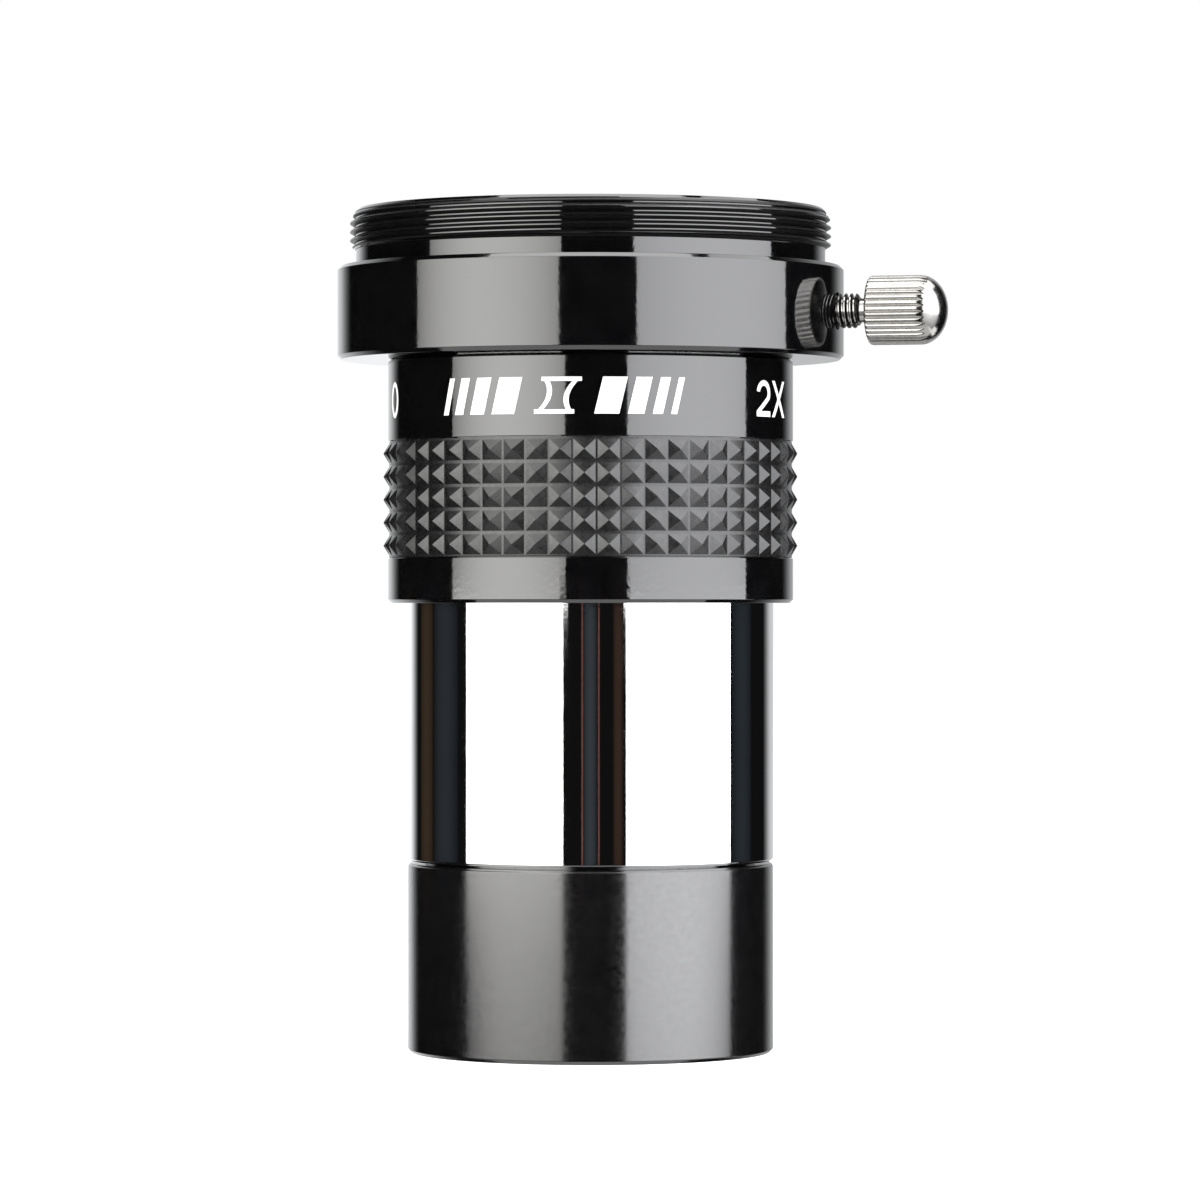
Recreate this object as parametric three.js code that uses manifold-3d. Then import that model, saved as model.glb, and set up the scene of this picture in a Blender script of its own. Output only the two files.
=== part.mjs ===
// A 1.25 inch barlow lens with an M42 camera thread, in millimetres.
// +Z runs along the optical axis, from the lens cell's end at z = 0 up to the eyepiece end.
// +X is the thumbscrew's side.
import * as THREE from "three";
import { mergeVertices } from "three/addons/utils/BufferGeometryUtils.js";
import Module from "manifold-3d";

const wasm = await Module();
wasm.setup();

// ---- Driving dimensions ----

// Heights of the joints between the pieces that show.
const cellTop = 16.4;
const barrelBottom = 16.6;
const bodyBottom = 38.95;
const barrelTop = 39.4;
const gripBottom = 42.85;
const gripTop = 52.95;
const bodyTop = 60.0;
const collarBottom = 60.05;
const collarTop = 68.15;
const threadBottom = 69.55;
const rimTop = 73.1;

// Outside radii.
const cellRadius = 15.875;
const barrelRadius = 15.875;
const bodyRadius = 17.6;
const collarRadius = 22.0;

// Eyepiece socket, for a 31.75 mm eyepiece barrel.
const socketRadius = 15.95;
const socketFloor = 43.3;
const socketEntryRadius = 16.6;
const socketEntryDepth = 0.65;

// T-thread, M42 x 0.75.
const tCrestRadius = 20.9;
const tRootRadius = 20.45;
const tReliefRadius = 20.4;
const tPitch = 0.75;
const tRimRadius = 20.3;
const tLeadIn = 0.7;
const tRunOut = 0.5;
const tWall = 1.5;
const undercutRadius = 21.0;
const undercutDepth = 0.15;

// Body neck inside the collar, and the groove left above it for the compression ring.
const neckRadius = 17.0;
const neckTop = 62.3;
const counterboreRadius = 17.3;
const counterboreTop = 65.8;
const ringInnerRadius = 16.05;
const ringOuterRadius = 17.0;
const ringHeight = 3.2;
const ringSplit = 3.0;
const ringCutDepth = 4;

// Rubber grip.
const gripSeatRadius = 16.9;
const gripInnerRadius = 17.0;
const gripFloorRadius = 17.5;
const gripPeakRadius = 18.0;
const gripColumns = 54;
const gripRows = 5;
const gripRim = 0.15;
const pyramidShare = 0.86;
const pyramidRoot = 0.1;

// Bores of the nosepiece and the body below the socket. The barrel's shoulder sits in a recess of the body.
const barrelSeatRadius = 15.93;
const barrelSeatTop = 39.45;
const lowerBoreRadius = 15.3;
const barrelNeckRadius = 15.0;
const barrelBoreRadius = 13.95;
const cellSocketRadius = 14.35;
const cellSocketTop = 20.2;

// Lens cell.
const cellNeckRadius = 14.2;
const cellNeckTop = 19.4;
const filterRadius = 14.25;
const filterTop = 4.8;
const filterLeadIn = 0.4;
const seatRadius = 11.6;
const seatTop = 6.0;
const lensBoreRadius = 12.75;
const lensBoreTop = 12.3;
const upperBoreRadius = 13.1;

// Doublet.
const lensRadius = 12.6;
const lensEdge = 0.7;
const lensBottom = 6.05;
const crownEdgeTop = 10.65;
const flintEdgeBottom = 10.7;
const flintEdgeTop = 12.3;
const frontCurve = 60;
const innerCurve = 42;
const rearCurve = 140;

// Retaining ring.
const retainerOuterRadius = 13.0;
const retainerInnerRadius = 11.6;
const retainerBottom = 12.35;
const retainerTop = 14.2;
const retainerSlotWidth = 1.2;
const retainerSlotDepth = 0.8;

// Thumbscrew, M3 x 0.5, with its places measured out from the optical axis.
const screwHeight = 64.05;
const screwHoleRadius = 1.62;
const screwCrestRadius = 1.5;
const screwRootRadius = 1.2;
const screwPitch = 0.5;
const screwEnd = 18.2;
const screwThreadStop = 24.1;
const screwLeadIn = 0.4;
const screwNeckRadius = 1.05;
const headStart = 24.85;
const headEnd = 31.6;
const headRadius = 3.0;
const headRounding = 0.35;
const domeStart = 29.4;
const knurls = 34;
const knurlDepth = 0.16;
const tipRadius = 1.2;
const tipFace = 17.45;
const tipBack = 18.1;
const tipStemRadius = 0.6;
const tipStemEnd = 19.2;
const tipHoleRadius = 0.72;
const tipHoleEnd = 19.5;

// Edges, and the slack with which a cutting shape passes the surface that it cuts.
const chamfer = 0.35;
const bodyEdge = 0.3;
const thinEdge = 0.2;
const seam = 0.05;
const slack = 0.1;

const roundSegments = 48;
const innerSegments = 48;
const screwSegments = 16;

// ---- Shape helpers ----

function solidOf(geometry) {
  const bare = geometry.clone();
  bare.deleteAttribute("normal");
  bare.deleteAttribute("uv");
  const merged = mergeVertices(bare, 1e-4);
  return new wasm.Manifold(
    new wasm.Mesh({
      numProp: 3,
      vertProperties: new Float32Array(merged.attributes.position.array),
      triVerts: new Uint32Array(merged.index.array),
    }),
  );
}

function geometryOf(solid) {
  const mesh = solid.getMesh();
  const geometry = new THREE.BufferGeometry();
  geometry.setAttribute("position", new THREE.BufferAttribute(new Float32Array(mesh.vertProperties), 3));
  geometry.setIndex(new THREE.BufferAttribute(new Uint32Array(mesh.triVerts), 1));
  geometry.computeVertexNormals();
  return geometry;
}

// A solid turned about +Z. The outline is [radius, height] pairs, counter-clockwise:
// along the bottom outwards, up the outside and back down the bore.
function turned(outline, segments = roundSegments) {
  const closed = outline[0][0] > 0 ? [...outline, outline[0]] : outline;
  const points = closed.map(([radius, height]) => new THREE.Vector2(radius, height));
  return solidOf(new THREE.LatheGeometry(points, segments).rotateX(Math.PI / 2));
}

// The same about +X, with heights measured out along +X.
function turnedAlongX(outline, segments) {
  return solidOf(geometryOf(turned(outline, segments)).rotateY(Math.PI / 2));
}

function rodAlongX(radius, from, to, segments = screwSegments) {
  const rod = new THREE.CylinderGeometry(radius, radius, to - from, segments);
  return solidOf(rod.rotateZ(Math.PI / 2).translate((from + to) / 2, 0, 0));
}

function block(width, depth, height, x, y, z) {
  return solidOf(new THREE.BoxGeometry(width, depth, height).translate(x, y, z));
}

// Points of an arc from one angle to another, in the outline's plane.
function arc(centreRadius, centreHeight, radius, from, to, steps) {
  return Array.from({ length: steps + 1 }, (_, i) => {
    const angle = from + ((to - from) * i) / steps;
    return [centreRadius + radius * Math.cos(angle), centreHeight + radius * Math.sin(angle)];
  });
}

// How far a spherical surface of the given curve rises from its apex at a radius. A negative curve falls.
function sag(curve, radius) {
  return curve - Math.sign(curve) * Math.sqrt(curve * curve - radius * radius);
}

// A right-hand threaded rod along +Z. Each form point is [share of the pitch, radius].
// Its rows climb one pitch in a turn, so the last column meets the first one a pitch higher.
function threadedRod(form, pitch, bottom, turns, segments) {
  const perTurn = form.length;
  const rows = perTurn * turns;
  const positions = [];
  const indices = [];
  const slots = new Map();

  function vertex(column, row) {
    const onSeam = column === segments;
    const key = onSeam ? `0,${row + perTurn}` : `${column},${row}`;
    if (!slots.has(key)) {
      const place = onSeam ? row + perTurn : row;
      const [share, radius] = form[place % perTurn];
      const turn = onSeam ? 0 : column / segments;
      const angle = 2 * Math.PI * turn;
      const height = bottom + pitch * (Math.floor(place / perTurn) + share + turn);
      slots.set(key, positions.length / 3);
      positions.push(radius * Math.cos(angle), radius * Math.sin(angle), height);
    }
    return slots.get(key);
  }

  for (let column = 0; column < segments; column++) {
    for (let row = 0; row < rows; row++) {
      const a = vertex(column, row);
      const b = vertex(column + 1, row);
      const c = vertex(column + 1, row + 1);
      const d = vertex(column, row + 1);
      indices.push(a, b, c, a, c, d);
    }
  }

  // Each end is closed by a fan over the last row and the step where it meets itself.
  function closeEnd(row, height, faceUp) {
    const rim = [];
    for (let column = 0; column < segments; column++) rim.push(vertex(column, row));
    for (let step = perTurn; step > 0; step--) rim.push(vertex(0, row + step));
    const centre = positions.length / 3;
    positions.push(0, 0, height);
    rim.forEach((here, i) => {
      const next = rim[(i + 1) % rim.length];
      indices.push(centre, faceUp ? here : next, faceUp ? next : here);
    });
  }
  closeEnd(0, bottom - pitch, false);
  closeEnd(rows, bottom + pitch * (turns + 2), true);

  const geometry = new THREE.BufferGeometry();
  geometry.setAttribute("position", new THREE.BufferAttribute(new Float32Array(positions), 3));
  geometry.setIndex(indices);
  return solidOf(geometry);
}

// ---- Materials ----

function finish(color, roughness, metalness) {
  return () => new THREE.MeshStandardMaterial({ color, roughness, metalness });
}

const glossBlack = finish(0x0c0c0d, 0.12, 0.0);
const satinBlack = finish(0x121213, 0.4, 0.2);
const blackRubber = finish(0x161616, 0.75, 0.0);
const chrome = finish(0xd8d8da, 0.06, 1.0);
const nickel = finish(0xc9c8c6, 0.14, 1.0);
const brass = finish(0xb08d3c, 0.3, 1.0);
const whiteNylon = finish(0xe6e3da, 0.6, 0.0);

function opticalGlass() {
  const material = new THREE.MeshStandardMaterial({ color: 0xa9c4b4, roughness: 0.02, metalness: 0.0 });
  material.transparent = true;
  material.opacity = 0.35;
  return material;
}

// ---- Sub-parts ----

const group = new THREE.Group();
group.name = "barlow_lens";

function addPiece(name, solid, material) {
  const mesh = new THREE.Mesh(geometryOf(solid), material());
  mesh.name = name;
  group.add(mesh);
}

// The wide collar at the top: eyepiece bore, thumbscrew hole and the male T-thread.
function threadCollar() {
  const collar = turned([
    [counterboreRadius, collarBottom],
    [collarRadius - chamfer, collarBottom],
    [collarRadius, collarBottom + chamfer],
    [collarRadius, collarTop - chamfer],
    [collarRadius - chamfer, collarTop],
    [undercutRadius, collarTop],
    [undercutRadius, collarTop - undercutDepth],
    [tReliefRadius, collarTop - undercutDepth],
    [tReliefRadius, rimTop - tLeadIn],
    [tRimRadius - slack, rimTop],
    [socketEntryRadius, rimTop],
    [socketRadius, rimTop - socketEntryDepth],
    [socketRadius, counterboreTop],
    [counterboreRadius, counterboreTop],
  ]);
  const form = [
    [0.0, tRootRadius],
    [0.2, tRootRadius],
    [0.55, tCrestRadius],
    [0.68, tCrestRadius],
  ];
  const trim = turned([
    [tRootRadius - tWall, threadBottom],
    [tRootRadius, threadBottom],
    [tCrestRadius + slack, threadBottom + tRunOut],
    [tCrestRadius + slack, rimTop - tLeadIn],
    [tRimRadius, rimTop],
    [tRootRadius - tWall, rimTop],
  ]);
  const turns = Math.ceil((rimTop - threadBottom) / tPitch) + 2;
  const thread = threadedRod(form, tPitch, threadBottom - 2 * tPitch, turns, roundSegments).intersect(trim);
  const hole = rodAlongX(screwHoleRadius, ringOuterRadius - seam, collarRadius + 1);
  return collar.add(thread).subtract(hole.translate([0, 0, screwHeight]));
}

// The split ring in the groove between the body's neck and the collar.
function compressionRing() {
  const bottom = screwHeight - ringHeight / 2;
  const top = screwHeight + ringHeight / 2;
  const ring = turned([
    [ringInnerRadius, bottom],
    [ringOuterRadius, bottom],
    [ringOuterRadius, top],
    [ringInnerRadius, top],
  ]);
  return ring.subtract(block(ringCutDepth, ringSplit, ringHeight + 1, -ringOuterRadius, 0, screwHeight));
}

// The main tube: lower flange, grip seat, printed band and the neck inside the collar.
function bodyTube() {
  return turned([
    [barrelSeatRadius, bodyBottom],
    [bodyRadius - bodyEdge, bodyBottom],
    [bodyRadius, bodyBottom + bodyEdge],
    [bodyRadius, gripBottom - seam],
    [gripSeatRadius, gripBottom - seam],
    [gripSeatRadius, gripTop + seam],
    [bodyRadius, gripTop + seam],
    [bodyRadius, bodyTop - thinEdge],
    [bodyRadius - thinEdge, bodyTop],
    [neckRadius, bodyTop],
    [neckRadius, neckTop],
    [socketRadius, neckTop],
    [socketRadius, socketFloor],
    [lowerBoreRadius, socketFloor],
    [lowerBoreRadius, barrelSeatTop],
    [barrelSeatRadius, barrelSeatTop],
  ]);
}

// The rubber sleeve: rows of small pyramids between two plain rims.
function rubberGrip() {
  const bottom = gripBottom + gripRim;
  const rowHeight = (gripTop - gripRim - bottom) / gripRows;
  const outline = [
    [gripInnerRadius, gripBottom],
    [gripFloorRadius, gripBottom],
    [gripFloorRadius, gripTop],
    [gripInnerRadius, gripTop],
  ];
  const sleeve = turned(outline, gripColumns);
  const width = (2 * Math.PI * gripFloorRadius) / gripColumns;
  const height = gripPeakRadius - gripFloorRadius;
  const pyramids = [];
  for (let row = 0; row < gripRows; row++) {
    for (let column = 0; column < gripColumns; column++) {
      // A four-sided cone has its flat sides square to the row once it is turned by an eighth.
      const cone = new THREE.CylinderGeometry(0, Math.SQRT1_2, height + pyramidRoot, 4);
      cone.rotateY(Math.PI / 4).scale(rowHeight * pyramidShare, 1, width * pyramidShare);
      cone.rotateZ(-Math.PI / 2);
      cone.translate(gripFloorRadius + (height - pyramidRoot) / 2, 0, bottom + (row + 0.5) * rowHeight);
      cone.rotateZ((2 * Math.PI * (column + 0.5)) / gripColumns - Math.PI / 2);
      pyramids.push(solidOf(cone));
    }
  }
  return wasm.Manifold.union([sleeve, ...pyramids]);
}

// The plated tube that goes into the focuser, with its neck inside the body.
function nosepieceBarrel() {
  return turned([
    [cellSocketRadius, barrelBottom],
    [barrelRadius - thinEdge, barrelBottom],
    [barrelRadius, barrelBottom + thinEdge],
    [barrelRadius, barrelTop],
    [barrelNeckRadius, barrelTop],
    [barrelNeckRadius, gripBottom],
    [barrelBoreRadius, gripBottom],
    [barrelBoreRadius, cellSocketTop],
    [cellSocketRadius, cellSocketTop],
  ]);
}

// The cell that holds the doublet, with a filter socket below and a threaded neck above.
function lensCell() {
  return turned([
    [filterRadius + filterLeadIn, 0],
    [cellRadius - bodyEdge, 0],
    [cellRadius, bodyEdge],
    [cellRadius, cellTop - thinEdge],
    [cellRadius - thinEdge, cellTop],
    [cellNeckRadius, cellTop],
    [cellNeckRadius, cellNeckTop],
    [upperBoreRadius, cellNeckTop],
    [upperBoreRadius, lensBoreTop],
    [lensBoreRadius, lensBoreTop],
    [lensBoreRadius, seatTop],
    [seatRadius, seatTop],
    [seatRadius, filterTop],
    [filterRadius, filterTop],
    [filterRadius, filterLeadIn],
  ]);
}

// A lens surface as [radius, height] pairs from the axis outwards.
function surface(curve, apex, edgeRadius, steps = 4) {
  return Array.from({ length: steps + 1 }, (_, i) => {
    const radius = (edgeRadius * i) / steps;
    return [radius, apex + sag(curve, radius)];
  });
}

// The biconcave element: hollow below, and hollow above where the second element nests.
function crownElement() {
  const clear = lensRadius - lensEdge;
  const front = surface(-frontCurve, lensBottom + sag(frontCurve, clear), clear);
  const rear = surface(innerCurve, crownEdgeTop - sag(innerCurve, lensRadius), lensRadius);
  return turned([...front, [lensRadius, lensBottom], ...rear.reverse()], innerSegments);
}

// The meniscus that nests in the hollow above.
function flintElement() {
  const clear = lensRadius - lensEdge;
  const front = surface(innerCurve, flintEdgeBottom - sag(innerCurve, lensRadius), lensRadius);
  const rear = surface(rearCurve, flintEdgeTop - sag(rearCurve, clear), clear);
  return turned([...front, [lensRadius, flintEdgeTop], ...rear.reverse()], innerSegments);
}

// The slotted ring that holds the doublet down on its seat.
function retainingRing() {
  const ring = turned([
    [retainerInnerRadius, retainerBottom],
    [retainerOuterRadius, retainerBottom],
    [retainerOuterRadius, retainerTop],
    [retainerInnerRadius, retainerTop],
  ]);
  const span = 2 * retainerOuterRadius + 1;
  return ring.subtract(block(span, retainerSlotWidth, 2 * retainerSlotDepth, 0, 0, retainerTop));
}

// The thumbscrew: threaded shank, thin neck and a knurled head with a smooth dome.
function thumbscrew() {
  const form = [
    [0.0, screwRootRadius],
    [0.5, screwCrestRadius],
  ];
  const turns = Math.ceil((screwThreadStop - screwEnd) / screwPitch) + 2;
  const rod = threadedRod(form, screwPitch, screwEnd - 2 * screwPitch, turns, screwSegments);
  const trim = turned(
    [
      [0, screwEnd],
      [screwRootRadius, screwEnd],
      [screwCrestRadius + slack, screwEnd + screwLeadIn],
      [screwCrestRadius + slack, screwThreadStop - screwLeadIn],
      [screwRootRadius - slack, screwThreadStop],
      [0, screwThreadStop],
    ],
    screwSegments,
  );
  const shank = solidOf(geometryOf(rod.intersect(trim)).rotateY(Math.PI / 2));
  const neck = rodAlongX(screwNeckRadius, screwThreadStop - screwLeadIn, headStart + screwLeadIn);
  return shank.add(neck).add(screwHead()).subtract(rodAlongX(tipHoleRadius, screwEnd - 1, tipHoleEnd));
}

function screwHead() {
  const star = new THREE.Shape(
    Array.from({ length: 2 * knurls }, (_, i) => {
      const angle = (Math.PI * i) / knurls;
      const radius = i % 2 ? headRadius - knurlDepth : headRadius;
      return new THREE.Vector2(radius * Math.cos(angle), radius * Math.sin(angle));
    }),
  );
  const length = headEnd - headStart;
  const knurled = new THREE.ExtrudeGeometry(star, { depth: length, bevelEnabled: false });
  const domeDepth = headEnd - domeStart;
  const rounding = arc(headRadius - headRounding, headStart + headRounding, headRounding, -Math.PI / 2, 0, 2);
  const dome = arc(0, 0, 1, 0, Math.PI / 2, 5).map(([across, along]) => [
    headRadius * across,
    domeStart + domeDepth * along,
  ]);
  dome[dome.length - 1][0] = 0;
  const envelope = turnedAlongX([[0, headStart], ...rounding, ...dome], knurls);
  const prism = solidOf(knurled.translate(0, 0, headStart).rotateY(Math.PI / 2));
  return prism.intersect(envelope);
}

// The soft pad set in the end of the screw.
function thumbscrewTip() {
  const pad = rodAlongX(tipRadius, tipFace, tipBack);
  return pad.add(rodAlongX(tipStemRadius, tipBack - slack, tipStemEnd));
}

const atScrew = [0, 0, screwHeight];

addPiece("t_thread_collar", threadCollar(), glossBlack);
addPiece("compression_ring", compressionRing(), brass);
addPiece("thumbscrew", thumbscrew().translate(atScrew), nickel);
addPiece("thumbscrew_tip", thumbscrewTip().translate(atScrew), whiteNylon);
addPiece("body_tube", bodyTube(), glossBlack);
addPiece("rubber_grip", rubberGrip(), blackRubber);
addPiece("nosepiece_barrel", nosepieceBarrel(), chrome);
addPiece("lens_cell", lensCell(), satinBlack);
addPiece("crown_element", crownElement(), opticalGlass);
addPiece("flint_element", flintElement(), opticalGlass);
addPiece("retaining_ring", retainingRing(), satinBlack);

export default group;
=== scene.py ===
# A 1.25 inch barlow lens with a camera thread. Lengths are in metres, and mm() gives them from millimetres.
# +Z is the optical axis, +X the thumbscrew's side, and z = 0 the lens cell's lower end.
import math

import bmesh
import bpy
import numpy as np
from mathutils import Matrix, Vector


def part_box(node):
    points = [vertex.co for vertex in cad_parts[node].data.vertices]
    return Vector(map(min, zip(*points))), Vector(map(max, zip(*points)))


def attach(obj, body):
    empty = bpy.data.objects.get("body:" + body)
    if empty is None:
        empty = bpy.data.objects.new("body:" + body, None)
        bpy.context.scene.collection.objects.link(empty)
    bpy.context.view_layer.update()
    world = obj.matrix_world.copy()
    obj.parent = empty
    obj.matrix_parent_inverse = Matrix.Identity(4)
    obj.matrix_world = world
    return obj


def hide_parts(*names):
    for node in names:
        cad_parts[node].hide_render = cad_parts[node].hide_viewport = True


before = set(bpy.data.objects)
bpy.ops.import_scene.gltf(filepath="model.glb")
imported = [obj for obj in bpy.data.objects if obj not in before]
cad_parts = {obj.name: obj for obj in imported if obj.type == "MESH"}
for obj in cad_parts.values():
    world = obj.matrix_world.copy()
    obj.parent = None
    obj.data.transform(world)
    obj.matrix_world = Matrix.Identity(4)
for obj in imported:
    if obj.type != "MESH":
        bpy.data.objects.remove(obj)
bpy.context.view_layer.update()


MM_PER_M = 1000


def mm(value):
    return value * 0.001


# ---- Places from the frame ----

def ring_size(node):
    """Outside radius, bottom and top of a round CAD node, in millimetres."""
    low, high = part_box(node)
    return (high.y - low.y) / 2 * MM_PER_M, low.z * MM_PER_M, high.z * MM_PER_M


collar_radius, collar_bottom, rim_top = ring_size("t_thread_collar")
body_radius, body_bottom, neck_top = ring_size("body_tube")
_, grip_bottom, grip_top = ring_size("rubber_grip")
barrel_radius, barrel_bottom, barrel_neck_top = ring_size("nosepiece_barrel")
cell_radius, cell_bottom, cell_neck_top = ring_size("lens_cell")
clamp_radius, clamp_bottom, clamp_top = ring_size("compression_ring")
lens_radius, crown_bottom, crown_top = ring_size("crown_element")
_, flint_bottom, flint_top = ring_size("flint_element")
retainer_radius, retainer_bottom, retainer_top = ring_size("retaining_ring")
head_radius, screw_low, screw_high = ring_size("thumbscrew")
screw_z = (screw_low + screw_high) / 2
screw_box = [corner.x * MM_PER_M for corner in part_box("thumbscrew")]
tip_box = [corner.x * MM_PER_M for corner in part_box("thumbscrew_tip")]
tip_radius = ring_size("thumbscrew_tip")[0]

# ---- Driving dimensions, in millimetres ----

COLLAR_TOP = 68.15
THREAD_BOTTOM = 69.55
BODY_TOP = 60.0
BARREL_TOP = 39.4
BARREL_SEAT_RADIUS = 15.93
BARREL_SEAT_TOP = 39.45
CELL_TOP = 16.4
SOCKET_RADIUS = 15.95
SOCKET_FLOOR = 43.3
SOCKET_ENTRY_RADIUS = 16.6
SOCKET_ENTRY_DEPTH = 0.65
LOWER_BORE = 15.3
BARREL_BORE = 13.95
BARREL_NECK_RADIUS = 15.0
CELL_SOCKET_RADIUS = 14.35
CELL_SOCKET_TOP = 20.2
COUNTERBORE_RADIUS = 17.3
COUNTERBORE_TOP = 65.8
NECK_RADIUS = 17.0
SEAT_RADIUS = 16.9
GRIP_INNER = 17.0
GRIP_FLOOR = 17.5
GRIP_PEAK = 18.0
GRIP_COLUMNS = 54
GRIP_ROWS = 5
FILTER_RADIUS = 14.25
FILTER_TOP = 4.8
LENS_SEAT_RADIUS = 11.6
LENS_SEAT_TOP = 6.0
LENS_BORE = 12.75
LENS_BORE_TOP = 12.3
UPPER_BORE = 13.1
CELL_NECK_RADIUS = 14.2
FRONT_CURVE = 60.0
INNER_CURVE = 42.0
REAR_CURVE = 140.0
LENS_BEVEL = 0.08
T_CREST = 20.9
T_ROOT = 20.42
T_RELIEF = 20.4
T_PITCH = 0.75
UNDERCUT_RADIUS = 21.0
UNDERCUT_DEPTH = 0.15
T_RIM = 20.28
T_RIM_SLOPE = 0.6
T_RIM_EDGE = 0.22
RUN_OUT_SLOPE = 1.2
SCREW_CREST = 1.5
SCREW_ROOT = 1.18
SCREW_PITCH = 0.5
SCREW_NECK = 1.05
SCREW_STOP = 24.1
SCREW_HOLE = 1.62
TIP_HOLE = 0.72
TIP_HOLE_DEPTH = 1.3
HEAD_START = 24.85
DOME_START = 29.3
KNURLS = 34
KNURL_DEPTH = 0.17

# Segments round a full turn, and the distances at which points of a mesh count as one, in millimetres.
ROUND = 256
MERGED = 0.0005
DEGENERATE = 0.0002
NEAR = 0.001
SUPPORT = 0.04

# Edges sharper than this, in degrees, stay sharp on the collar.
COLLAR_SHARP = 25
# Thread flanks take the second material of their piece.
FLANK_SLOT = 1

# Degrees from -Y to the side that the camera sees, towards +X.
CAMERA_AZIMUTH = 15.0


# ---- Mesh helpers ----

def finish_mesh(name, bm, materials, sharp_degrees=32.0):
    """A smooth-shaded object from a bmesh, with its edges kept sharp past an angle."""
    bmesh.ops.remove_doubles(bm, verts=bm.verts, dist=mm(MERGED))
    bmesh.ops.dissolve_degenerate(bm, edges=bm.edges, dist=mm(DEGENERATE))
    bmesh.ops.recalc_face_normals(bm, faces=bm.faces)
    mesh = bpy.data.meshes.new(name)
    bm.to_mesh(mesh)
    bm.free()
    for material in materials:
        mesh.materials.append(material)
    mesh.shade_smooth()
    mesh.set_sharp_from_angle(angle=math.radians(sharp_degrees))
    piece = bpy.data.objects.new(name, mesh)
    bpy.context.scene.collection.objects.link(piece)
    return piece


def settle(piece, body, slot, *nodes):
    """Puts a finished piece on its body, in place of the CAD nodes that it stands for."""
    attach(piece, body)
    if nodes:
        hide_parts(*nodes)


def filleted(corners, steps=5):
    """A closed outline from (radius, height, fillet) corners, in millimetres. Each corner becomes an arc,
    and each straight gets a point near its ends so that it shades flat."""
    count = len(corners)
    outline = []
    for i, (radius, height, fillet) in enumerate(corners):
        here = Vector((radius, height))
        before = Vector(corners[i - 1][:2]) - here
        after = Vector(corners[(i + 1) % count][:2]) - here
        bend = before.angle(after)
        cut = fillet / math.tan(bend / 2) if fillet else 0.0
        start, end = here + before.normalized() * cut, here + after.normalized() * cut
        if before.length > cut + 3 * SUPPORT:
            outline.append(here + before.normalized() * (cut + SUPPORT))
        if fillet:
            inward = (before.normalized() + after.normalized()).normalized()
            centre = here + inward * (fillet / math.sin(bend / 2))
            a, b = start - centre, end - centre
            for k in range(steps + 1):
                outline.append(centre + a.slerp(b, k / steps) * fillet)
        else:
            outline.append(here)
        if after.length > cut + 3 * SUPPORT:
            outline.append(here + after.normalized() * (cut + SUPPORT))
    return [(p.x, p.y) for p in outline]


def turn_point(radius, height, turn):
    angle = 2 * math.pi * turn
    return Vector((mm(radius) * math.cos(angle), mm(radius) * math.sin(angle), mm(height)))


def add_turned(bm, outline, segments=ROUND, closed=True, material_of=None):
    """Turns an outline of (radius, height) about +Z. It runs up the outside and down the inside."""
    columns = []
    for j in range(segments):
        columns.append([bm.verts.new(turn_point(r, z, j / segments)) for r, z in outline])
    rows = len(outline) if closed else len(outline) - 1
    for j in range(segments):
        here, there = columns[j], columns[(j + 1) % segments]
        for i in range(rows):
            k = (i + 1) % len(outline)
            face = bm.faces.new((here[i], there[i], there[k], here[k]))
            if material_of:
                face.material_index = material_of(outline[i], outline[k])
    return columns


def cap_ends(bm, columns, low, high):
    """Closes both ends of turned columns with fans, to a point on the axis at each height."""
    for height, index in ((low, 0), (high, -1)):
        centre = bm.verts.new((0, 0, mm(height)))
        for j, column in enumerate(columns):
            after = columns[(j + 1) % len(columns)]
            pair = (after[index], column[index]) if index == 0 else (column[index], after[index])
            bm.faces.new((centre, *pair))


def add_thread(bm, bottom, top, pitch, form, envelope, segments=ROUND):
    """A right-hand thread between two heights. form is (share of the pitch, radius) from root to root, and
    envelope(height, radius) trims it. Its rows climb one pitch in a turn, so they lie along the thread."""
    per_turn = len(form)
    turns = math.ceil((top - bottom) / pitch) + 2
    rows = per_turn * turns
    slots = {}

    def vertex(column, row):
        if column == segments:
            column, row = 0, row + per_turn
        if (column, row) not in slots:
            share, radius = form[row % per_turn]
            turn = column / segments
            height = bottom + pitch * (row // per_turn - 1 + share + turn)
            height = min(max(height, bottom), top)
            slots[column, row] = bm.verts.new(turn_point(envelope(height, radius), height, turn))
        return slots[column, row]

    for column in range(segments):
        for row in range(rows):
            low = vertex(column, row), vertex(column + 1, row)
            high = vertex(column + 1, row + 1), vertex(column, row + 1)
            face = bm.faces.new((*low, *high))
            if form[row % per_turn][1] != form[(row + 1) % per_turn][1]:
                face.material_index = FLANK_SLOT


def thread_form(root, crest, steps=5, crest_share=0.13, root_share=0.13):
    """One pitch of a V thread with narrow flats, and its flanks in steps."""
    flank = (1 - crest_share - root_share) / 2
    crest_start = root_share + flank
    crest_end = crest_start + crest_share
    form = [(0.0, root), (root_share, root)]
    for k in range(1, steps):
        form.append((root_share + flank * k / steps, root + (crest - root) * k / steps))
    form += [(crest_start, crest), (crest_end, crest)]
    for k in range(1, steps):
        form.append((crest_end + flank * k / steps, crest + (root - crest) * k / steps))
    return form


def turned_piece(name, corners, materials, segments=ROUND, material_of=None):
    bm = bmesh.new()
    add_turned(bm, filleted(corners), segments, material_of=material_of)
    return finish_mesh(name, bm, materials)


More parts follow.
